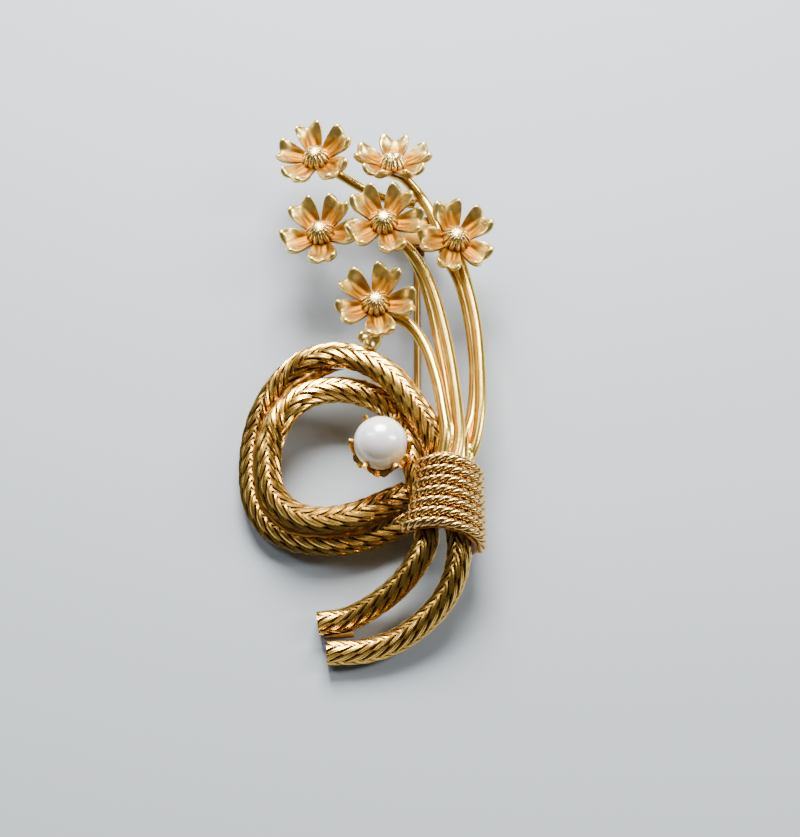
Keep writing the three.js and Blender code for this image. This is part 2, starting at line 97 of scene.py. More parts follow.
class Value:
    """One output socket in a node tree. Arithmetic on it adds Math nodes."""

    def __init__(self, nodes, socket):
        self.nodes = nodes
        self.socket = socket

    def math(self, operation, *others):
        return self.nodes.math(operation, self, *others)

    def __add__(self, other):
        return self.math("ADD", other)

    def __radd__(self, other):
        return self.nodes.math("ADD", other, self)

    def __sub__(self, other):
        return self.math("SUBTRACT", other)

    def __rsub__(self, other):
        return self.nodes.math("SUBTRACT", other, self)

    def __mul__(self, other):
        return self.math("MULTIPLY", other)

    def __rmul__(self, other):
        return self.nodes.math("MULTIPLY", other, self)

    def __truediv__(self, other):
        return self.math("DIVIDE", other)


class Nodes:
    """Adds nodes to one tree, for a shader or for geometry."""

    def __init__(self, tree):
        self.tree = tree

    def node(self, kind, settings=None, values=None, output=0):
        made = self.tree.nodes.new(kind)
        for name, setting in (settings or {}).items():
            if name == "stops":
                ramp = made.color_ramp.elements
                while len(ramp) < len(setting):
                    ramp.new(0.5)
                for element, (place, colour) in zip(ramp, setting):
                    element.position = place
                    element.color = (*colour, 1)
            else:
                setattr(made, name, setting)
        for name, value in (values or {}).items():
            if isinstance(value, Value):
                self.tree.links.new(value.socket, made.inputs[name])
            elif isinstance(value, list):
                for item in reversed(value):
                    self.tree.links.new(item.socket, made.inputs[name])
            else:
                made.inputs[name].default_value = value
        if isinstance(output, tuple):
            return [Value(self, made.outputs[name]) for name in output]
        return Value(self, made.outputs[output]) if made.outputs else None

    def math(self, operation, *values):
        return self.node("ShaderNodeMath", {"operation": operation}, dict(enumerate(values)))

    def vector(self, operation, *values):
        return self.node("ShaderNodeVectorMath", {"operation": operation}, dict(enumerate(values)))

    def scaled(self, vector, amount):
        return self.node("ShaderNodeVectorMath", {"operation": "SCALE"}, {0: vector, "Scale": amount})

    def combine(self, x, y, z):
        return self.node("ShaderNodeCombineXYZ", {}, {0: x, 1: y, 2: z})

    def mix(self, factor, low, high):
        settings = {"data_type": "RGBA", "clamp_factor": True}
        low = low if isinstance(low, Value) else (*low, 1)
        high = high if isinstance(high, Value) else (*high, 1)
        return self.node("ShaderNodeMix", settings, {0: factor, 6: low, 7: high}, output=2)

    def noise(self, place, scale, detail=3.0, rough=0.55):
        return self.node(
            "ShaderNodeTexNoise", {}, {"Vector": place, "Scale": scale, "Detail": detail, "Roughness": rough}
        )


def geometry_tree(name, inputs):
    """An empty geometry tree with named inputs; gives the builder and the inputs as values."""
    tree = bpy.data.node_groups.new(name, "GeometryNodeTree")
    tree.interface.new_socket("Geometry", in_out="INPUT", socket_type="NodeSocketGeometry")
    tree.interface.new_socket("Geometry", in_out="OUTPUT", socket_type="NodeSocketGeometry")
    for label, kind in inputs.items():
        tree.interface.new_socket(label, in_out="INPUT", socket_type=kind)
    nodes = Nodes(tree)
    given = dict(zip(["Geometry", *inputs], nodes.node("NodeGroupInput", output=("Geometry", *inputs))))
    return nodes, given


def bend_along(nodes, shape, route):
    """Moves a shape built along X so that it follows the route, with its Z kept upwards."""
    place = nodes.node("GeometryNodeInputPosition")
    x, y, z = nodes.node("ShaderNodeSeparateXYZ", {}, {0: place}, output=(0, 1, 2))
    length = nodes.node("GeometryNodeCurveLength", {}, {"Curve": route})
    along = x.math("MAXIMUM", 0).math("MINIMUM", length)
    centre, tangent = nodes.node(
        "GeometryNodeSampleCurve", {"mode": "LENGTH"}, {"Curves": route, "Length": along},
        output=("Position", "Tangent"),
    )
    side = nodes.vector("NORMALIZE", nodes.vector("CROSS_PRODUCT", tangent, (0, 0, 1)))
    up = nodes.vector("CROSS_PRODUCT", side, tangent)
    across = nodes.vector("ADD", nodes.scaled(side, y), nodes.scaled(up, z))
    bent = nodes.vector("ADD", centre, across)
    return nodes.node("GeometryNodeSetPosition", {}, {"Geometry": shape, "Position": bent})


def store_relief(nodes, shape, low, high):
    """Keeps how far each point stands off the X axis, from 0 in the recess to 1 on the crest."""
    place = nodes.node("GeometryNodeInputPosition")
    x, y, z = nodes.node("ShaderNodeSeparateXYZ", {}, {0: place}, output=(0, 1, 2))
    radius = (y * y + z * z).math("SQRT")
    relief = (radius - low) / (high - low)
    return nodes.node(
        "GeometryNodeStoreNamedAttribute", {"data_type": "FLOAT", "domain": "POINT"},
        {"Geometry": shape, "Name": "relief", "Value": relief},
    )


def ramp(nodes, value, start, end):
    """0 before start, 1 after end, smooth in between."""
    return nodes.node(
        "ShaderNodeMapRange", {"interpolation_type": "SMOOTHSTEP"},
        {0: value, 1: start, 2: end, 3: 0, 4: 1},
    )


def turned_and_swollen(nodes, shape, given):
    """Turns the straight strand about its axis at two places and thickens it where the loop is."""
    place = nodes.node("GeometryNodeInputPosition")
    x, y, z = nodes.node("ShaderNodeSeparateXYZ", {}, {0: place}, output=(0, 1, 2))
    angle = given["First Turn"] * ramp(nodes, x, given["Collar Start"], given["Collar End"])
    angle = angle + given["Second Turn"] * ramp(nodes, x, given["Bend Start"], given["Bend End"])
    angle = angle + given["Phase"]
    c = angle.math("COSINE")
    s = angle.math("SINE")
    swell = ramp(nodes, x, given["Collar Start"], given["Collar End"])
    scale = 1 + swell * (given["Loop Radius"] / given["Radius"] - 1)
    turned = nodes.combine(x, (y * c - z * s) * scale, (y * s + z * c) * scale)
    return nodes.node("GeometryNodeSetPosition", {}, {"Geometry": shape, "Position": turned})


def grown(name, tree, points, values):
    """Runs a geometry tree on a route of points and gives back a plain mesh object."""
    edges = [(i, i + 1) for i in range(len(points) - 1)]
    host_mesh = bpy.data.meshes.new(name + "_route")
    host_mesh.from_pydata([tuple(p) for p in points], edges, [])
    host = bpy.data.objects.new(name + "_route", host_mesh)
    bpy.context.scene.collection.objects.link(host)
    modifier = host.modifiers.new("grow", "NODES")
    modifier.node_group = tree
    for item in tree.interface.items_tree:
        if item.in_out == "INPUT" and item.name in values:
            modifier[item.identifier] = values[item.name]
    ready = host.evaluated_get(bpy.context.evaluated_depsgraph_get())
    mesh = bpy.data.meshes.new_from_object(ready)
    bpy.data.objects.remove(host)
    bpy.data.meshes.remove(host_mesh)
    return shown(name, mesh)


def shown(name, mesh, smooth_angle=SMOOTH_ANGLE):
    """Links a finished mesh under its name, smooth shaded, with creases left sharp."""
    mesh.name = name
    mesh.polygons.foreach_set("use_smooth", [True] * len(mesh.polygons))
    mesh.set_sharp_from_angle(angle=smooth_angle)
    piece = bpy.data.objects.new(name, mesh)
    bpy.context.scene.collection.objects.link(piece)
    return piece


PLAIN_HEIGHT = 0.75
PATCH_SCALE = 420
SPECKLE_SCALE = 3800
GRAIN_DEPTH = 0.03 * MM


def gold(name, bright, deep, roughness, relief=True, grain=0.12, cloud=0.35):
    """Plated metal with fine grain and random patches of tone: painted highlight on the crests, and painted
    shade with some patina making the recesses browner and duller.
    """
    material = bpy.data.materials.new(name)
    material.use_nodes = True
    material.node_tree.nodes.clear()
    nodes = Nodes(material.node_tree)
    place = nodes.node("ShaderNodeTexCoord", output="Object")
    patches = nodes.noise(place, PATCH_SCALE, 4)
    speckle = nodes.noise(place, SPECKLE_SCALE, 3)
    if relief:
        height = nodes.node("ShaderNodeAttribute", {"attribute_name": "relief"}, output="Fac")
    else:
        height = PLAIN_HEIGHT
    # Painted shade and highlight: the relief number darkens the recesses and lightens the crests; the noise
    # adds random tone.
    shade_and_tone = height + (patches - 0.5) * cloud + (speckle - 0.5) * 0.25
    shade_and_tone = nodes.node(
        "ShaderNodeMapRange", {"interpolation_type": "SMOOTHSTEP"}, {0: shade_and_tone, 1: 0.05, 2: 0.8, 3: 0, 4: 1}
    )
    colour = nodes.mix(shade_and_tone, deep, bright)
    rough = roughness + (1 - shade_and_tone) * 0.22 + (patches - 0.5) * 0.12
    bump = nodes.node(
        "ShaderNodeBump", {}, {"Strength": grain, "Distance": GRAIN_DEPTH, "Height": speckle}
    )
    shader = nodes.node(
        "ShaderNodeBsdfPrincipled", {},
        {"Base Color": colour, "Metallic": 1.0, "Roughness": rough, "Normal": bump},
    )
    nodes.node("ShaderNodeOutputMaterial", {}, {"Surface": shader})
    return material


# Painted highlight on the wire crests and painted shade down in the recesses and on the core.
rope_gold = gold("rope_gold", (0.92, 0.56, 0.11), (0.09, 0.028, 0.002), 0.21)


def wheat_strand_tree():
    """A round core with four spines of wire pairs, laid like the grains of a wheat ear."""
    nodes, given = geometry_tree("wheat_strand", {
        "Radius": "NodeSocketFloat", "Loop Radius": "NodeSocketFloat", "Pitch": "NodeSocketFloat",
        "Wire Radius": "NodeSocketFloat", "Phase": "NodeSocketFloat",
        "First Turn": "NodeSocketFloat", "Collar Start": "NodeSocketFloat", "Collar End": "NodeSocketFloat",
        "Second Turn": "NodeSocketFloat", "Bend Start": "NodeSocketFloat", "Bend End": "NodeSocketFloat",
        "Metal": "NodeSocketMaterial",
    })
    route = nodes.node("GeometryNodeMeshToCurve", {}, {"Mesh": given["Geometry"]})
    length = nodes.node("GeometryNodeCurveLength", {}, {"Curve": route})
    pitch = given["Pitch"]
    wire_radius = given["Wire Radius"]
    crest = given["Radius"] - wire_radius
    count = (length / pitch + 5).math("FLOOR")
    profile = nodes.node("GeometryNodeCurvePrimitiveCircle", {}, {"Resolution": 6, "Radius": wire_radius})
    along = nodes.node("GeometryNodeSplineParameter", output="Factor")
    tip = 1 - ramp(nodes, along, 0.8, 1.12)
    heel = ramp(nodes, along, -0.25, 0.3)
    fingers = []
    for spine in range(4):
        lead = 1 if spine % 2 == 0 else -1
        for side in (-1, 1):
            for partner in range(2):
                stand = crest * (1.0 if partner == 0 else 0.965)
                reach = 2.5 if partner == 0 else 2.2

                def corner(x, degrees, height):
                    turn = math.radians(degrees * side)
                    return nodes.combine(
                        lead * x * MM, stand * (height * math.sin(turn)), stand * (height * math.cos(turn))
                    )

                finger = nodes.node("GeometryNodeCurvePrimitiveBezierSegment", {"mode": "POSITION"}, {
                    "Resolution": 6,
                    "Start": corner(0.35, -9, 0.86),
                    "Start Handle": corner(-0.3, 8, 1.07),
                    "End Handle": corner(-1.3, 30, 1.07),
                    "End": corner(-reach, 49, 0.9),
                })
                finger = nodes.node("GeometryNodeSetCurveRadius", {}, {"Curve": finger, "Radius": tip * heel})
                wire = nodes.node("GeometryNodeCurveToMesh", {}, {
                    "Curve": finger, "Profile Curve": profile, "Fill Caps": True,
                })
                shift = (0.5 if side > 0 else 0.0) + 0.37 * partner * -lead + 0.25 * (spine % 2)
                line = nodes.node("GeometryNodeMeshLine", {}, {
                    "Count": count, "Start Location": nodes.combine(pitch * (shift - 2), 0, 0),
                    "Offset": nodes.combine(pitch, 0, 0),
                })
                fingers.append(nodes.node("GeometryNodeInstanceOnPoints", {}, {
                    "Points": line, "Instance": wire,
                    "Rotation": (math.radians(90 * spine), 0, 0),
                }))
    fingers = nodes.node("GeometryNodeJoinGeometry", {}, {0: fingers})
    fingers = nodes.node("GeometryNodeRealizeInstances", {}, {0: fingers})
    axis = nodes.node(
        "GeometryNodeCurvePrimitiveLine", {}, {"Start": (0, 0, 0), "End": nodes.combine(length, 0, 0)}
    )
    axis = nodes.node("GeometryNodeResampleCurve", {}, {"Curve": axis, "Count": CORE_STEPS})
    core_profile = nodes.node("GeometryNodeCurvePrimitiveCircle", {}, {
        "Resolution": 24, "Radius": crest * CORE_SHARE,
    })
    core = nodes.node(
        "GeometryNodeCurveToMesh", {}, {"Curve": axis, "Profile Curve": core_profile, "Fill Caps": True}
    )
    strand = nodes.node("GeometryNodeJoinGeometry", {}, {0: [fingers, core]})
    strand = store_relief(nodes, strand, given["Radius"] * 0.83, given["Radius"])
    strand = turned_and_swollen(nodes, strand, given)
    strand = bend_along(nodes, strand, route)
    strand = nodes.node("GeometryNodeRealizeInstances", {}, {0: strand})
    strand = nodes.node("GeometryNodeSetMaterial", {}, {"Geometry": strand, "Material": given["Metal"]})
    nodes.node("NodeGroupOutput", {}, {"Geometry": strand})
    return nodes.tree


def way_to(route, place):
    """How far along the smoothed route its chosen point number place lies."""
    last = place * ROUTE_STEPS
    return sum((b - a).length for a, b in zip(route[:last], route[1:last + 1]))


wheat = wheat_strand_tree()
STRANDS = (
    ("outer_strand", OUTER_ROUTE, 7, 10, 15, 19), ("inner_strand", INNER_ROUTE, 6, 9, 13, 16),
)
for name, points, collar_start, collar_end, bend_start, bend_end in STRANDS:
    route = smooth_route(points)
    strand = grown(name + "_wheat", wheat, route, {
        "Radius": TAIL_RADIUS, "Loop Radius": LOOP_RADIUS, "Pitch": FINGER_PITCH, "Wire Radius": WIRE_RADIUS,
        "Phase": STRAND_PHASE, "First Turn": FIRST_TURN,
        "Collar Start": way_to(route, collar_start), "Collar End": way_to(route, collar_end),
        "Second Turn": SECOND_TURN,
        "Bend Start": way_to(route, bend_start), "Bend End": way_to(route, bend_end),
        "Metal": rope_gold,
    })
    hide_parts(name)
    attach(strand, "brooch")

# ------------------------------------------------------------------------------------------------
# Collar. An arched brass band over the strands and the stems, with seven rows of three-ply twisted
# rope soldered side by side over it. The rows droop a little down the right side.
# ------------------------------------------------------------------------------------------------
COLLAR_TOP_Y = -11.15
COLLAR_LENGTH = 7.1
COLLAR_FAN = 0.3
COLLAR_DROOP = 0.8
COLLAR_CENTRE_Z = 5.2
COLLAR_RISE = 3.75
COLLAR_THICKNESS = 0.3
COLLAR_ROWS = 7
COLLAR_ROPE_RADIUS = 0.58
ROPE_LEAD = 2.9
ROW_PHASE = 0.7
ROW_SINK = 0.02
ROW_START_ANGLE = 31
ROW_END_ANGLE = 200


def collar_point(angle, row, offset):
    """A point on the collar in millimetres: angle round the arch, row from 0 at the top to 1."""
    left = 6.2 - 1.7 * row * abs(row)
    right = 11.6 + 0.1 * row
    half_width = (right - left) / (1 + math.cos(math.radians(ROW_START_ANGLE)))
    c = math.cos(math.radians(angle))
    s = math.sin(math.radians(angle))
    size = math.hypot(c / half_width, s / COLLAR_RISE)
    side = max(0, (angle - 90) / 90)
    return Vector((
        right - half_width - half_width * c - c / half_width / size * offset,
        COLLAR_TOP_Y - row * (COLLAR_LENGTH + COLLAR_FAN * side) - COLLAR_DROOP * side,
        COLLAR_CENTRE_Z + COLLAR_RISE * s + s / COLLAR_RISE / size * offset,
    ))


def closed_mesh(name, vertices, faces):
    """A mesh from points in millimetres."""
    mesh = bpy.data.meshes.new(name)
    mesh.from_pydata([(x * MM, y * MM, z * MM) for x, y, z in vertices], [], faces)
    mesh.validate()
    mesh.update()
    return mesh


def loft(rings):
    """Joins rings of equal length into a closed skin; the rings run anticlockwise about the way on."""
    size = len(rings[0])
    vertices = [tuple(point) for ring in rings for point in ring]
    faces = []
    for i in range(len(rings) - 1):
        for j in range(size):
            a = i * size + j
            b = i * size + (j + 1) % size
            faces.append((a, b, b + size, a + size))
    faces.append(tuple(range(size - 1, -1, -1)))
    faces.append(tuple((len(rings) - 1) * size + j for j in range(size)))
    return vertices, faces


def collar_band():
    """The arched sheet under the rope rows, which reaches a little past them at both ends."""
    rings = []
    turns = np.linspace(ROW_START_ANGLE - 2, ROW_END_ANGLE + 2, 49)
    half = COLLAR_THICKNESS / 2
    for row in np.linspace(1.07, -0.07, 25):
        outer = [collar_point(turn, row, half) for turn in turns]
        inner = [collar_point(turn, row, -half) for turn in turns]
        rings.append(outer + inner[::-1])
    return closed_mesh("collar_band_sheet", *loft(rings))


band = shown("collar_band_sheet", collar_band())
band_gold = gold("collar_band_gold", (0.5, 0.24, 0.07), (0.14, 0.045, 0.01), 0.34, relief=False)
band.data.materials.append(band_gold)
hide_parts("collar_band")
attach(band, "brooch")


def twisted_rope_tree():
    """Three round plies twisted round each other along the route."""
    nodes, given = geometry_tree("twisted_rope", {
        "Radius": "NodeSocketFloat", "Lead": "NodeSocketFloat", "Phase": "NodeSocketFloat",
        "Metal": "NodeSocketMaterial",
    })
    route = nodes.node("GeometryNodeMeshToCurve", {}, {"Mesh": given["Geometry"]})
    length = nodes.node("GeometryNodeCurveLength", {}, {"Curve": route})
    ply_radius = given["Radius"] * 0.5
    profile = nodes.node("GeometryNodeCurvePrimitiveCircle", {}, {"Resolution": 10, "Radius": ply_radius})
    plies = []
    for ply in range(3):
        axis = nodes.node(
            "GeometryNodeCurvePrimitiveLine", {}, {"Start": (0, 0, 0), "End": nodes.combine(length, 0, 0)}
        )
        axis = nodes.node("GeometryNodeResampleCurve", {}, {"Curve": axis, "Count": 90})
        place = nodes.node("GeometryNodeInputPosition")
        x = nodes.node("ShaderNodeSeparateXYZ", {}, {0: place})
        turn = given["Phase"] + x / given["Lead"] * (2 * math.pi) + math.radians(120 * ply)
        coil = nodes.combine(x, turn.math("COSINE") * ply_radius, turn.math("SINE") * ply_radius)
        axis = nodes.node("GeometryNodeSetPosition", {}, {"Geometry": axis, "Position": coil})
        plies.append(nodes.node(
            "GeometryNodeCurveToMesh", {}, {"Curve": axis, "Profile Curve": profile, "Fill Caps": True}
        ))
    rope = nodes.node("GeometryNodeJoinGeometry", {}, {0: plies})
    rope = store_relief(nodes, rope, given["Radius"] * 0.6, given["Radius"])
    rope = bend_along(nodes, rope, route)
    rope = nodes.node("GeometryNodeRealizeInstances", {}, {0: rope})
    rope = nodes.node("GeometryNodeSetMaterial", {}, {"Geometry": rope, "Material": given["Metal"]})
    nodes.node("NodeGroupOutput", {}, {"Geometry": rope})
    return nodes.tree


twist = twisted_rope_tree()
# Painted shade between the twisted plies and painted highlight on their crests, from the relief number.
collar_gold = gold("collar_gold", (0.86, 0.54, 0.16), (0.05, 0.018, 0.003), 0.2)
row_lift = COLLAR_THICKNESS / 2 + COLLAR_ROPE_RADIUS - ROW_SINK
for k in range(COLLAR_ROWS):
    row = k / (COLLAR_ROWS - 1)
    turns = np.linspace(ROW_START_ANGLE, ROW_END_ANGLE, 60)
    route = [collar_point(turn, row, row_lift) * MM for turn in turns]
    rope = grown(f"collar_rope_{k + 1}_twist", twist, route, {
        "Radius": COLLAR_ROPE_RADIUS * MM, "Lead": ROPE_LEAD * MM, "Phase": ROW_PHASE * k,
        "Metal": collar_gold,
    })
    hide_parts(f"collar_rope_{k + 1}")
    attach(rope, "brooch")

# ------------------------------------------------------------------------------------------------
# Stems. Cast brass rods with a shallow groove along the top, satin gold plated, with a dark stripe of
# painted shade along the groove. They run side by side out of the collar, where solder fills between
# them, and end flat under their flowers.
# ------------------------------------------------------------------------------------------------
FLOWERS = {
    "top_left": {"base": (-6.2, 27.05, 6.9), "tilt": (-0.16, 0.14), "petals": (34, 104, 169, 227, 315)},
    "top_right": {"base": (2.7, 26.2, 6.7), "tilt": (0.02, 0.55), "petals": (16, 86, 168, 236, 308)},
    "middle_left": {"base": (-5.5, 17.3, 6.7), "tilt": (-0.14, 0.06), "petals": (-10, 58, 124, 204, 278)},
    "centre": {"base": (1.7, 17.5, 9.0), "tilt": (0.0, 0.03), "petals": (-5, 59, 127, 218, 286)},
    "right": {"base": (9.85, 16.4, 7.0), "tilt": (0.12, 0.0), "petals": (41, 103, 194, 255, 316)},
    "lower": {"base": (0.8, 7.9, 7.7), "tilt": (0.0, 0.0), "petals": (-3, 69, 142, 203, 279)},
}
STEM_RADIUS = 0.6
BRANCH_RADIUS = 0.55
STEM_SIDES = 36
STEM_STEPS = 10
FLOWER_GAP = 0.03
STEMS = {
    "lower": (150, STEM_RADIUS, [
        (7.7, -12.8, 7.75), (8.15, -10.6, 8.02), (8.5, -8.0, 8.55), (8.25, -5.4, 8.2), (7.6, -1.2, 7.6),
        (6.3, 3.2, 7.1), (4.5, 5.9, 7.0)]),
    "centre": (130, STEM_RADIUS, [
        (8.95, -12.8, 7.85), (9.5, -10.6, 7.85), (10.0, -8.0, 7.8), (9.75, -3.7, 7.7), (8.75, 3.6, 7.5),
        (7.0, 10.5, 7.6), (4.8, 14.4, 8.1)]),
    "top_right": (140, STEM_RADIUS, [
        (10.0, -12.8, 7.2), (10.3, -10.6, 6.9), (10.48, -8.1, 6.35), (11.0, -6.3, 5.6), (11.5, -4.6, 5.15),
        (11.95, 0.4, 5.0), (11.55, 6.7, 4.8), (10.4, 12.2, 4.85), (8.7, 15.8, 5.4), (7.5, 20.2, 5.45),
        (5.9, 23.2, 5.4)]),
    "right": (108, STEM_RADIUS, [
        (10.5, -12.8, 5.9), (10.75, -10.8, 5.7), (11.75, -8.2, 6.1), (12.4, -4.6, 6.4), (12.5, 0.4, 6.3),
        (12.1, 6.7, 6.1), (11.0, 12.2, 6.1)]),
    "middle_left": (178, BRANCH_RADIUS, [
        (9.35, -7.4, 6.5), (9.2, -5.5, 6.6), (8.95, -3.7, 6.55), (8.4, 0.6, 6.3), (7.75, 4.6, 6.2),
        (6.9, 9.0, 6.1), (5.6, 13.4, 6.0), (3.4, 17.0, 5.95), (0.5, 18.2, 5.95), (-2.6, 17.8, 6.1)]),
    "top_left": (150, BRANCH_RADIUS, [
        (5.4, 22.1, 5.5), (2.4, 22.9, 5.0), (-0.6, 24.2, 5.2), (-3.2, 25.6, 5.8)]),
}
SOLDER = {
    "between_stems": ([
        (8.75, -12.0, 7.3), (9.1, -10.4, 7.45), (9.3, -8.6, 7.55), (9.3, -7.2, 7.4),
        (9.3, -5.9, 7.1)], 1.15, 0.42),
    "right_foot": ([
        (10.5, -12.0, 6.4), (10.75, -10.3, 6.35), (11.0, -9.0, 6.2), (11.2, -7.9, 5.9)], 0.75, 0.45),
}


def on_flower(flower, point):
    """Turns a point of a flower's own frame into the brooch's frame, in millimetres."""
    tilt = Vector((*flower["tilt"], 1)).normalized()
    turn = Vector((0, 0, 1)).rotation_difference(tilt)
    return turn @ Vector(point) + Vector(flower["base"])


def sweep(route, section, sides):
    """Rings round a route in millimetres; section(part way, angle) gives the radius."""
    rings = []
    reach = np.linspace(0, 1, len(route))
    for i, centre in enumerate(route):
        ahead = route[min(i + 1, len(route) - 1)] - route[max(i - 1, 0)]
        ahead.normalize()
        side = ahead.cross(Vector((0, 0, 1))).normalized()
        up = side.cross(ahead)
        ring = []
        for angle in np.arange(sides) * 2 * math.pi / sides:
            radius = section(reach[i], angle)
            ring.append(centre + float(radius) * (math.sin(angle) * side + math.cos(angle) * up))
        rings.append(ring[::-1])
    return rings


def with_relief(mesh, values):
    """Keeps one number per point, from 0 in a recess to 1 on a crest; the gold materials paint shade and
    highlight from it.
    """
    mesh.attributes.new("relief", "FLOAT", "POINT").data.foreach_set("value", values)
    return mesh


stem_gold = gold("stem_gold", (0.95, 0.66, 0.14), (0.2, 0.095, 0.012), 0.24, grain=0.3, cloud=0.6)
for name, (heading, radius, points) in STEMS.items():
    turn = math.radians(heading)
    under = -radius - FLOWER_GAP
    ends = [
        on_flower(FLOWERS[name], (d * math.cos(turn), d * math.sin(turn), under)) for d in (-1.7, -0.4, 0.7)
    ]
    route = [point / MM for point in smooth_route([*points, *ends], STEM_STEPS)]
    grooved = radius == STEM_RADIUS

    def section(way, angle, radius=radius, grooved=grooved):
        off_groove = (angle + 0.55 + math.pi) % (2 * math.pi) - math.pi
        depth = 0.2 * math.exp(-(off_groove / 0.3) ** 2)
        wide = 0.1 * abs(math.sin(angle)) if grooved else 0
        flare = 0.2 * max(0, 1 - way / 0.22) ** 2 if grooved else 0
        return radius * (1 - depth + wide + flare)

    rings = sweep(route, section, STEM_SIDES)
    # Painted shade: a dark stripe along the groove side of each rod, the rest of it bright.
    shade_and_highlight = [1 - math.exp(-(((a + 0.75 + math.pi) % (2 * math.pi) - math.pi) / 0.55) ** 2)
               for a in np.arange(STEM_SIDES) * 2 * math.pi / STEM_SIDES][::-1]
    mesh = closed_mesh(f"stem_{name}_rod", *loft(rings))
    with_relief(mesh, shade_and_highlight * len(rings))
    stem = shown(f"stem_{name}_rod", mesh)
    stem.data.materials.append(stem_gold)
    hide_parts(f"stem_{name}")
    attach(stem, "brooch")

SOLDER["collar_edge"] = ([collar_point(a, -0.08, 0.1) for a in range(40, 117, 8)], 0.34, 0.42)
for name, (points, wide, high) in SOLDER.items():
    route = [point / MM for point in smooth_route(points, STEM_STEPS)]

    def lump(way, angle, wide=wide, high=high):
        end = math.sqrt(max(0.02, 1 - abs(2 * way - 1) ** 4))
        ripple = 1 + 0.07 * math.sin(23 * way + 2 * angle) + 0.05 * math.sin(41 * way - 3 * angle)
        return end * ripple / math.hypot(math.sin(angle) / wide, math.cos(angle) / high)

    rings = sweep(route, lump, STEM_SIDES)
    mesh = closed_mesh(f"solder_{name}", *loft(rings))
    with_relief(mesh, [0.7] * len(mesh.vertices))
    filler = shown(f"solder_{name}", mesh)
    filler.data.materials.append(stem_gold)
    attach(filler, "brooch")

# ------------------------------------------------------------------------------------------------
# Flowers. Each is one small casting of five cupped, notched petals with thick curled tips, and a
# ridged button pressed on its middle. Bright orange-gold plate, with painted highlight on the curled
# tips, rims and button top and painted shade in the hollows and under the petals.
# ------------------------------------------------------------------------------------------------
PETAL_REACH = 4.6
PETAL_THICKNESS = 0.42
DOME_RADIUS = 1.5
DOME_HEIGHT = 1.6
OUTLINE = [
    (0, 4.2), (0.08, 4.28), (0.2, 4.52), (0.32, 4.64), (0.44, 4.64), (0.55, 4.5), (0.65, 4.22), (0.73, 3.8),
    (0.79, 3.2), (0.84, 2.6), (0.9, 2.05), (0.95, 1.75), (1, 1.6),
]
KNOB_REACH = 3.95
KNOB_APART = 1.02
PETAL_SPOKES = 40
PETAL_RINGS = 22


def smoothstep(low, high, x):
    """0 at low, 1 at high, smooth in between; it falls where low is the larger."""
    t = np.clip((x - low) / (high - low), 0, 1)
    return t * t * (3 - 2 * t)


def petal_sheet(name, flower):
    """Five petals as one closed skin: rings of spokes whose reach follows each petal's outline."""
    centres = flower["petals"]
    spokes = []
    for k, centre in enumerate(centres):
        before = centres[k - 1] - (360 if k == 0 else 0)
        after = centres[(k + 1) % 5] + (360 if k == 4 else 0)
        for u in np.linspace(-1, 1, PETAL_SPOKES, endpoint=False):
            half = (centre - before) / 2 if u < 0 else (after - centre) / 2
            reach = np.interp(abs(u), *zip(*OUTLINE))
            spokes.append((math.radians(centre + u * half), math.radians(u * half), reach))
    angle, away, reach = np.array(spokes).T
    parts = np.concatenate([np.linspace(0.06, 0.9, PETAL_RINGS - 5), [0.93, 0.958, 0.98, 0.994, 1.0]])
    rim_drop = np.concatenate([np.zeros(PETAL_RINGS - 5), [0.02, 0.07, 0.16, 0.3, 0.5]])
    tops = []
    bottoms = []
    shade_and_highlight = []
    for part, drop in zip(parts, rim_drop):
        r = part * reach
        outward = r / PETAL_REACH
        sideways = r * np.sin(away)
        forwards = r * np.cos(away)
        width = np.interp(outward, [0.2, 0.4, 0.7, 0.9, 1], [0.7, 1.1, 1.6, 1.7, 1.6])
        wall = smoothstep(0.35, 1.0, np.abs(sideways) / width) * smoothstep(0.25, 0.6, outward)
        knob = np.exp(-((forwards - KNOB_REACH) ** 2 + (np.abs(sideways) - KNOB_APART) ** 2) / 0.66 ** 2)
        vein = 0.045 * np.cos(sideways * 8.0) * smoothstep(0.3, 0.5, outward) * (1 - knob)
        floor = PETAL_THICKNESS + 1.15 * outward ** 2.2 + vein
        thick = PETAL_THICKNESS + 0.14 * wall + 0.75 * knob
        z = floor + 0.5 * wall + 0.62 * knob
        x = r * np.cos(angle)
        y = r * np.sin(angle)
        tops.append(np.stack([x, y, z - drop * thick], 1))
        bottoms.append(np.stack([x, y, z - thick + drop * thick], 1))
        # Painted highlight on the curled knobs and raised rims, painted shade in the troughs; the underside
        # gets a fixed painted shade of 0.3.
        shade_and_highlight.append(np.clip(0.35 * wall ** 3 + 1.05 * knob ** 0.8 + 0.12 * outward + 1.2 * vein, 0, 1))
    rings = [*bottoms, *tops[::-1]]
    rings = [[on_flower(flower, p) for p in ring] for ring in rings]
    mesh = closed_mesh(name, *loft(rings))
    relief = [*[np.full(len(angle), 0.3)] * len(bottoms), *shade_and_highlight[::-1]]
    return with_relief(mesh, np.concatenate(relief))


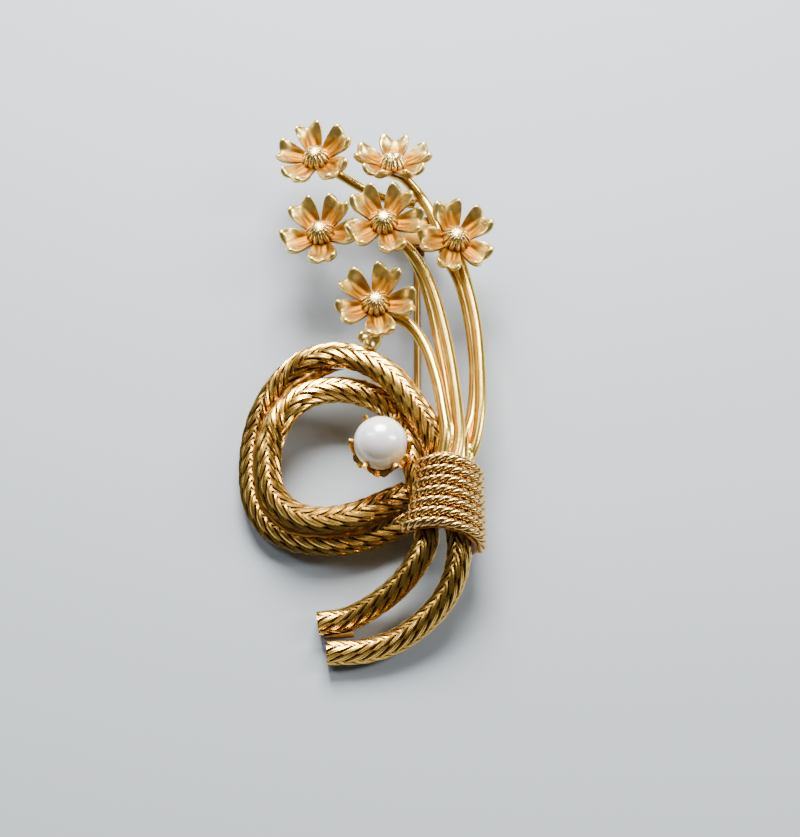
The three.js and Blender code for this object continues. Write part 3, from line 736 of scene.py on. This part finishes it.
def ridged_button(name, flower):
    """A tall dome with pleats that run down from its top and flare out at its foot."""
    around = np.linspace(0, 2 * math.pi, 156, endpoint=False)
    bottom = PETAL_THICKNESS + 0.02
    rings = [[(0.9 * DOME_RADIUS * math.cos(a), 0.9 * DOME_RADIUS * math.sin(a), bottom) for a in around]]
    relief = [np.zeros(len(around))]
    pleat = np.sqrt(np.abs(np.cos(6.5 * around))) * 2 - 1
    for rise in np.linspace(0, 87, 20):
        c = math.cos(math.radians(rise))
        s = math.sin(math.radians(rise))
        fade = smoothstep(0.1, 0.42, c)
        foot = 0.1 * smoothstep(0.8, 1.0, c)
        r = DOME_RADIUS * (c ** 0.9) * (0.93 + foot + 0.085 * pleat * fade)
        z = bottom + 0.05 + (DOME_HEIGHT - 0.1) * s + 0.08 * pleat * fade * s
        rings.append(list(zip(r * np.cos(around), r * np.sin(around), z * np.ones_like(around))))
        # Painted highlight rising towards the top of the dome and on the pleats' ridges, painted shade in the
        # pleats and at the foot.
        relief.append(0.2 + 0.55 * s + 0.38 * pleat * fade)
    rings = [[on_flower(flower, p) for p in ring] for ring in rings]
    mesh = closed_mesh(name, *loft(rings))
    return with_relief(mesh, np.clip(np.concatenate(relief), 0, 1))


petal_gold = gold("petal_gold", (1.0, 0.74, 0.22), (0.27, 0.10, 0.003), 0.3, grain=0.25, cloud=0.35)
button_gold = gold("button_gold", (1.0, 0.76, 0.3), (0.14, 0.045, 0.004), 0.24, grain=0.1, cloud=0.2)
for name, flower in FLOWERS.items():
    petals = shown(f"flower_{name}_blossom", petal_sheet(f"flower_{name}_blossom", flower))
    petals.data.materials.append(petal_gold)
    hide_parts(f"flower_{name}_petals")
    button = shown(f"flower_{name}_button", ridged_button(f"flower_{name}_button", flower))
    button.data.materials.append(button_gold)
    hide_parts(f"flower_{name}_centre")
    for piece in (petals, button):
        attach(piece, "brooch")

# ------------------------------------------------------------------------------------------------
# Pearl. An imitation pearl: a plastic ball under several coats of pearl lacquer, cream white with
# a faint lilac cloud, held by the prongs of its cup. A greyer lilac band across its middle is painted
# shade, and a cream-yellow tint low on its front is a painted reflection of the gold cup.
# ------------------------------------------------------------------------------------------------
PEARL_RADIUS = 2.9
PEARL_CENTRE = (1.45, -9.25, 9.1)


def ball_rings(radius, steps, around):
    """Rings from the bottom pole to the top pole of a ball, closed by small caps."""
    rings = []
    for rise in np.linspace(-89, 89, steps):
        c = math.cos(math.radians(rise))
        s = math.sin(math.radians(rise))
        turns = np.linspace(0, 2 * math.pi, around, endpoint=False)
        rings.append([(radius * c * math.cos(a), radius * c * math.sin(a), radius * s) for a in turns])
    return rings


def moved(rings, centre):
    """The same rings, set about another centre."""
    return [[Vector(point) + Vector(centre) for point in ring] for ring in rings]


pearl_lacquer = bpy.data.materials.new("pearl_lacquer")
pearl_lacquer.use_nodes = True
pearl_lacquer.node_tree.nodes.clear()
nodes = Nodes(pearl_lacquer.node_tree)
place = nodes.node("ShaderNodeTexCoord", output="Object")
clouds = nodes.noise(place, 260, 2)
skin = nodes.noise(place, 2600, 2)
cloud = nodes.node("ShaderNodeMapRange", {}, {0: clouds, 1: 0.35, 2: 0.68, 3: 0, 4: 1})
colour = nodes.mix(cloud, (1.0, 0.98, 0.95), (0.93, 0.90, 0.97))
x, y, z = nodes.node("ShaderNodeSeparateXYZ", {}, {0: place}, output=(0, 1, 2))
# Painted shade and reflection by position: a greyer lilac band as shade, then cream-yellow low on the front
# as the gold cup's reflection.
toward_cup = (y / MM - PEARL_CENTRE[1]) * 0.9 + (z / MM - PEARL_CENTRE[2]) * 0.3 + (clouds - 0.5) * 1.2
lilac = 1 - ramp(nodes, toward_cup, -0.6, 2.0)
cup_reflection = 1 - ramp(nodes, toward_cup, -2.3, 0.5)
colour = nodes.mix(lilac * 0.6, colour, (0.80, 0.76, 0.86))
colour = nodes.mix(cup_reflection, colour, (0.97, 0.80, 0.44))
bump = nodes.node("ShaderNodeBump", {}, {"Strength": 0.08, "Distance": 0.02 * MM, "Height": skin})
shader = nodes.node("ShaderNodeBsdfPrincipled", {}, {
    "Base Color": colour, "Roughness": 0.3 + 0.1 * skin,
    "Coat Weight": 1.0, "Coat Roughness": 0.22, "Coat IOR": 2.6,
    "Subsurface Weight": 0.15, "Subsurface Radius": (1.0, 0.8, 0.7), "Subsurface Scale": 0.4 * MM,
    "Normal": bump,
})
nodes.node("ShaderNodeOutputMaterial", {}, {"Surface": shader})

pearl_rings = moved(ball_rings(PEARL_RADIUS, 64, 96), PEARL_CENTRE)
pearl = shown("pearl_ball", closed_mesh("pearl_ball", *loft(pearl_rings)))
pearl.data.materials.append(pearl_lacquer)
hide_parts("pearl")
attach(pearl, "brooch")

# ------------------------------------------------------------------------------------------------
# Pearl cup. A stamped bowl whose flared, scalloped rim rises into six prongs bent in against the
# pearl, each with a rounded tip. Orange-gold plate, with painted shade inside the bowl and low down
# and painted highlight up the rim and prongs.
# ------------------------------------------------------------------------------------------------
CUP_GAP = 0.03
CUP_THICKNESS = 0.32
CUP_PRONGS = 6
CUP_EDGE_ROUND = 0.06
PRONG_RISE = 13
CUP_RISE = -30


def pronged_cup(name):
    """A bowl round the pearl whose rim rises into prongs."""
    around = np.linspace(0, 2 * math.pi, CUP_PRONGS * 32, endpoint=False)
    off_prong = np.abs((around * CUP_PRONGS / (2 * math.pi) + 0.5) % 1 - 0.5) * 2
    rim = CUP_RISE + (PRONG_RISE - CUP_RISE) * (1 - smoothstep(0.1, 0.42, off_prong))
    rim -= 6 * smoothstep(0.5, 1.0, off_prong)
    levels = np.linspace(0, 1, 16)
    rings = []
    relief = []
    for outside, order in ((1, levels), (0, levels[::-1])):
        for level in order:
            rise = np.radians(-86 + level * (rim + 86))
            swell = 0.16 * smoothstep(0.8, 1.0, level) * (1 - smoothstep(0.1, 0.42, off_prong))
            flare = (0.1 + 0.5 * smoothstep(0.2, 0.7, off_prong)) * smoothstep(0.45, 1.0, level)
            flare = flare * (1 + 0.1 * np.cos(around * CUP_PRONGS * 5))
            inset = CUP_EDGE_ROUND if level == 1 else 0
            thick = flare + CUP_THICKNESS + swell - 2 * inset
            radius = PEARL_RADIUS + CUP_GAP + inset + outside * thick
            flat = radius * np.cos(rise)
            rings.append(list(zip(flat * np.cos(around), flat * np.sin(around), radius * np.sin(rise))))
            # Painted shade: the inside and the lower bowl go dark; painted highlight brightens the outside up
            # towards the rim and on the prongs.
            relief.append(outside * (0.35 + 0.65 * level) + swell)
    mesh = closed_mesh(name, *loft(moved(rings, PEARL_CENTRE)))
    return with_relief(mesh, np.clip(np.concatenate([r * np.ones_like(around) for r in relief]), 0, 1))


cup_gold = gold("cup_gold", (0.9, 0.50, 0.06), (0.36, 0.14, 0.006), 0.26, cloud=0.3)
cup = shown("pearl_cup_bowl", pronged_cup("pearl_cup_bowl"))
cup.data.materials.append(cup_gold)
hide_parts("pearl_cup")
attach(cup, "brooch")

# ------------------------------------------------------------------------------------------------
# Joining piece, seam, web and post. A wedge and a knob of solder tie the lower flower to the loop, a
# bead of solder runs between the strands, a web painted dark brown as the shade between the tails
# holds the two tails together and a short stub carries the cup on the inner strand.
# ------------------------------------------------------------------------------------------------
JOINS = {
    "joining_wedge": ([
        (1.15, 4.75, 7.8), (0.75, 4.1, 7.5), (0.4, 3.4, 7.3), (0.15, 2.5, 7.0)], 0.92, "joining_bead"),
    "joining_knob": ([
        (0.2, 3.9, 7.3), (-0.3, 4.0, 7.35), (-0.75, 4.2, 7.4), (-1.15, 4.3, 7.4)], 0.6, "joining_bead"),
}
SEAM_RADIUS = 0.78
HARD_EDGE = math.radians(40)
# Painted shade: the web is kept dark brown as the shade in the groove between the tails.
web_gold = gold(
    "web_gold", (0.22, 0.10, 0.02), (0.08, 0.03, 0.005), 0.42, relief=False, grain=0.5, cloud=0.8
)
seam_gold = gold(
    "seam_gold", (0.34, 0.15, 0.02), (0.10, 0.035, 0.004), 0.34, relief=False, grain=0.5, cloud=1.0
)
for name, (points, size, node) in JOINS.items():
    route = [point / MM for point in smooth_route(points, 8)]

    def lump(way, angle, size=size):
        end = math.sqrt(max(0.01, 1 - abs(2 * way - 1) ** 5))
        return size * end * (1 + 0.1 * math.sin(9 * way + 2 * angle))

    mesh = closed_mesh(name, *loft(sweep(route, lump, 28)))
    with_relief(mesh, [0.85] * len(mesh.vertices))
    joint = shown(name, mesh)
    joint.data.materials.append(petal_gold)
    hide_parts(node)
    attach(joint, "brooch")

seam_route = [point / MM for point in smooth_route([
    (-2.6, 1.2, 5.1), (-5.0, 0.95, 4.8), (-6.9, 0.3, 4.5), (-9.4, -1.8, 3.7), (-11.3, -4.8, 3.1),
    (-12.1, -9.8, 2.8), (-11.0, -14.4, 2.8), (-8.2, -16.9, 3.0), (-3.9, -17.4, 3.3), (-0.7, -16.9, 3.3),
    (1.9, -15.7, 3.1), (3.8, -14.9, 3.1),
])]


def seam_section(way, angle):
    """An uneven bead of solder that thins out at both ends."""
    ends = float(smoothstep(-0.01, 0.16, way) * smoothstep(1.01, 0.96, way))
    ripple = 1 + 0.07 * math.sin(150 * way + angle) + 0.05 * math.sin(67 * way - 2 * angle)
    return SEAM_RADIUS * ends * ripple


seam = shown("loop_seam", closed_mesh("loop_seam", *loft(sweep(seam_route, seam_section, 20))))
seam.data.materials.append(seam_gold)
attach(seam, "brooch")


def bevelled(name, node, body, width, segments, metal):
    """Replaces a node by a copy of its own shape with the hard edges rounded."""
    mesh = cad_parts[node].data.copy()
    work = bmesh.new()
    work.from_mesh(mesh)
    bmesh.ops.remove_doubles(work, verts=work.verts, dist=0.002 * MM)
    bmesh.ops.dissolve_limit(
        work, angle_limit=math.radians(2), use_dissolve_boundaries=False, verts=work.verts, edges=work.edges
    )
    hard = [e for e in work.edges if e.is_manifold and e.calc_face_angle() > HARD_EDGE]
    bmesh.ops.bevel(
        work, geom=hard, offset=width * MM, segments=segments, profile=0.5, affect="EDGES", clamp_overlap=True
    )
    bmesh.ops.recalc_face_normals(work, faces=work.faces)
    work.to_mesh(mesh)
    work.free()
    mesh.materials.clear()
    mesh.materials.append(metal)
    piece = shown(name, mesh)
    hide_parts(node)
    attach(piece, body)


bevelled("tail_web_plate", "tail_web", "brooch", 0.08, 2, web_gold)
bevelled("pearl_post_stub", "pearl_post", "brooch", 0.05, 2, cup_gold)

# ------------------------------------------------------------------------------------------------
# Pin, hinge and catch. Drawn wire and stamped sheet with their edges tumbled round, painted darker
# than the front as the shade they sit in under the brooch. The pin turns on its rivet and the catch's
# sleeve rolls in its housing.
# ------------------------------------------------------------------------------------------------
# Painted shade: the findings' colours are kept dark for the shade under the brooch.
finding_gold = gold(
    "finding_gold", (0.24, 0.125, 0.025), (0.09, 0.035, 0.006), 0.36, relief=False, grain=0.25, cloud=0.6
)
pin_gold = gold(
    "pin_gold", (0.42, 0.23, 0.05), (0.16, 0.065, 0.01), 0.28, relief=False, grain=0.12, cloud=0.4
)
bevelled("hinge_bracket_stamping", "hinge_bracket", "brooch", 0.08, 2, finding_gold)
bevelled("hinge_rivet_peened", "hinge_rivet", "brooch", 0.1, 3, pin_gold)
bevelled("catch_housing_stamping", "catch_housing", "brooch", 0.04, 2, finding_gold)
bevelled("catch_sleeve_rolled", "catch_sleeve", "catch_lever", 0.04, 2, pin_gold)
bevelled("pin_stem_wire", "pin_stem", "pin", 0.03, 2, pin_gold)

# ------------------------------------------------------------------------------------------------
# Floor, light and camera. A matt grey-blue floor, one large window behind the flowers, two weak
# cards that fill the sides, and a long lens that looks down from in front.
# ------------------------------------------------------------------------------------------------
floor_paint = bpy.data.materials.new("floor_paint")
floor_paint.use_nodes = True
floor_shader = floor_paint.node_tree.nodes["Principled BSDF"]
floor_shader.inputs["Base Color"].default_value = (0.36, 0.40, 0.44, 1)
floor_shader.inputs["Roughness"].default_value = 0.7
floor_mesh = bpy.data.meshes.new("floor")
floor_mesh.from_pydata([(-1, -1, 0), (1, -1, 0), (1, 1, 0), (-1, 1, 0)], [], [(0, 1, 2, 3)])
floor = bpy.data.objects.new("floor", floor_mesh)
floor.data.materials.append(floor_paint)
bpy.context.scene.collection.objects.link(floor)


def area_light(name, place, size, power, colour):
    data = bpy.data.lights.new(name, "AREA")
    data.shape = "RECTANGLE"
    data.size, data.size_y = size
    data.energy = power
    data.color = colour
    light = bpy.data.objects.new(name, data)
    light.location = place
    light.rotation_euler = (-Vector(place)).to_track_quat("-Z", "Y").to_euler()
    bpy.context.scene.collection.objects.link(light)


area_light("window", (0.0, 0.19, 0.19), (0.16, 0.14), 3.3, (1, 0.97, 0.93))
area_light("side_card", (0.21, 0.03, 0.17), (0.05, 0.12), 0.5, (1, 0.98, 0.95))
area_light("sky_card", (-0.17, 0.08, 0.20), (0.05, 0.16), 0.25, (0.9, 0.95, 1))

world = bpy.data.worlds.new("studio")
world.use_nodes = True
world.node_tree.nodes["Background"].inputs["Color"].default_value = (0.75, 0.8, 0.88, 1)
world.node_tree.nodes["Background"].inputs["Strength"].default_value = 0.1
bpy.context.scene.world = world

CAMERA_ELEVATION = 68
CAMERA_DISTANCE = 180
LOOK_AT = (3.55, -4.75, 5.0)
camera_data = bpy.data.cameras.new("camera")
camera_data.sensor_fit = "HORIZONTAL"
camera_data.sensor_width = 36
camera_data.lens = 72.9
camera_data.clip_start = 0.005
camera = bpy.data.objects.new("camera", camera_data)
elevation = math.radians(CAMERA_ELEVATION)
camera.location = (
    LOOK_AT[0] * MM,
    (LOOK_AT[1] - CAMERA_DISTANCE * math.cos(elevation)) * MM,
    (LOOK_AT[2] + CAMERA_DISTANCE * math.sin(elevation)) * MM,
)
camera.rotation_euler = (math.pi / 2 - elevation, 0, 0)
bpy.context.scene.collection.objects.link(camera)
bpy.context.scene.camera = camera
